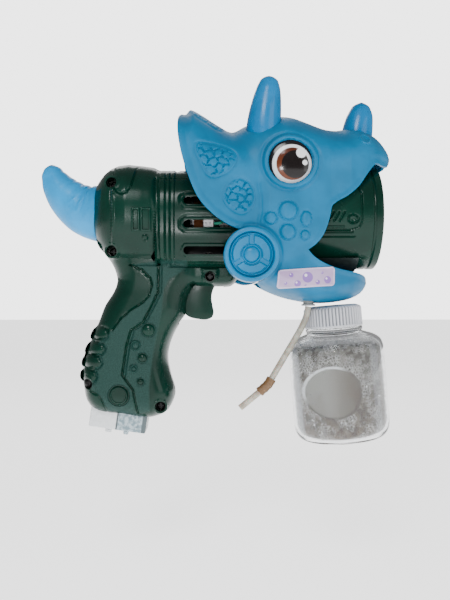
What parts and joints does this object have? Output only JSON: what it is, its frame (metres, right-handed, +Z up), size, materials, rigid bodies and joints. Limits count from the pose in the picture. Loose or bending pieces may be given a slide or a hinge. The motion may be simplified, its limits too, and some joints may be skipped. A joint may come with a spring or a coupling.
{
  "type": "bubble blaster",
  "caption": "Hand-held dinosaur bubble blaster with fan, peristaltic pump, pull trigger, sliding battery tray and a screw-cap bottle.",
  "frame": {"origin": "middle of the pistol grip, on the plane where the shell halves meet", "axes": "+X the way it blows, +Z up when held, its right side at -Y"},
  "size_m": [0.2199, 0.1, 0.2258],
  "materials": {
    "housing_green": "moulded, part gloss and part fine texture",
    "head_blue": "satin moulded",
    "horn_blue": "gloss moulded",
    "eye_print": "printed and clear coated",
    "black_steel": "black oxide",
    "steel": "bright",
    "copper": "bare",
    "white_plastic": "moulded",
    "tray_silver": "silver-white satin",
    "grey_plastic": "moulded",
    "clear_plastic": "clear blown bottle",
    "froth": "soap solution with froth",
    "tube_silicone": "translucent",
    "joiner_brown": "matte",
    "label_lilac": "plain printed sticker",
    "board_green": "solder mask",
    "cell_sleeve": "shrink sleeve",
    "wire_green": "wire sleeve"
  },
  "bodies": {
    "housing": {"shell_right": "housing_green", "shell_left": "housing_green", "head_right": "head_blue", "head_left": "head_blue", "brow_horn_right": "horn_blue", "brow_horn_left": "horn_blue", "nose_horn": "horn_blue", "tail": "horn_blue", "eye_right": "eye_print", "eye_left": "eye_print", "cheek_disc_right": "horn_blue", "cheek_disc_left": "horn_blue", "jaw_label": "label_lilac", "nozzle": "housing_green", "drip_tray": "grey_plastic", "bubble_plate": "grey_plastic", "gear_plate": "grey_plastic", "front_plate": "grey_plastic", "motor": "steel", "motor_band": "copper", "motor_cradle": "housing_green", "fan_duct": "grey_plastic", "pump_body": "grey_plastic", "trigger_spring": "steel", "trigger_switch": "black_steel", "circuit_board": "board_green", "wire_plug": "white_plastic", "plug_wire": "wire_green", "battery_wire": "black_steel", "tube_grommet": "grey_plastic", "suction_tube": "tube_silicone", "tube_joiner": "joiner_brown", "tube_tip": "tube_silicone", "pump_tube": "tube_silicone", "shell_screw_1": "black_steel", "shell_screw_2": "black_steel", "shell_screw_3": "black_steel", "shell_screw_4": "black_steel", "shell_screw_5": "black_steel"},
    "fan_rotor": {"motor_shaft": "steel", "fan_impeller": "white_plastic", "motor_pinion": "copper"},
    "layshaft": {"layshaft": "steel", "layshaft_wheel": "white_plastic", "layshaft_pinion": "white_plastic", "pump_rotor": "white_plastic", "pump_roller_1": "steel", "pump_roller_2": "steel", "pump_roller_3": "steel"},
    "wiper": {"wiper_wheel": "white_plastic", "wiper_shaft": "steel", "wiper": "white_plastic"},
    "trigger": {"trigger": "housing_green"},
    "battery_tray": {"battery_tray": "tray_silver", "cell_1": "cell_sleeve", "cell_2": "cell_sleeve", "tray_cap": "tray_silver"},
    "bottle_cap": {"bottle_cap": "white_plastic"},
    "bubble_liquid": {"bubble_liquid": "froth"},
    "bottle": {"bottle": "clear_plastic"}
  },
  "joints": [
    {"name": "fan_spin", "type": "hinge", "parent": "housing", "child": "fan_rotor", "pos_m": [0.07, 0, 0.081], "axis": [1, 0, 0], "continuous": true},
    {"name": "layshaft_spin", "type": "hinge", "parent": "housing", "child": "layshaft", "pos_m": [0.09, 0, 0.0675], "axis": [1, 0, 0], "continuous": true},
    {"name": "wiper_spin", "type": "hinge", "parent": "housing", "child": "wiper", "pos_m": [0.1, 0, 0.081], "axis": [1, 0, 0], "continuous": true},
    {"name": "trigger_pull", "type": "hinge", "parent": "housing", "child": "trigger", "pos_m": [0.0509, 0, 0.0434], "axis": [0, 1, 0], "range_deg": [0, 11], "stiffness_Nm_per_rad": 0.35, "springref_deg": -14.32},
    {"name": "tray_slide", "type": "slide", "parent": "housing", "child": "battery_tray", "axis": [-0.1426, 0, -0.9898], "range_m": [0, 0.062]},
    {"name": "bottle_lift", "type": "slide", "parent": "housing", "child": "bottle_cap", "axis": [0.0837, 0, -0.9965], "range_m": [0, 0.04]},
    {"name": "liquid_drop", "type": "slide", "parent": "bottle_cap", "child": "bubble_liquid", "axis": [0.0837, 0, -0.9965], "range_m": [0, 0.0042]},
    {"name": "bottle_unscrew", "type": "hinge", "parent": "bubble_liquid", "child": "bottle", "pos_m": [0.1291, 0, 0.0253], "axis": [0.0837, 0, -0.9965], "range_deg": [0, 360]}
  ],
  "couplings": [
    {"joint": "layshaft_spin", "follows": "fan_spin", "ratio": -0.25},
    {"joint": "wiper_spin", "follows": "fan_spin", "ratio": 0.0625},
    {"joint": "liquid_drop", "follows": "bottle_unscrew", "m_per_rad": 0.00066845}
  ]
}
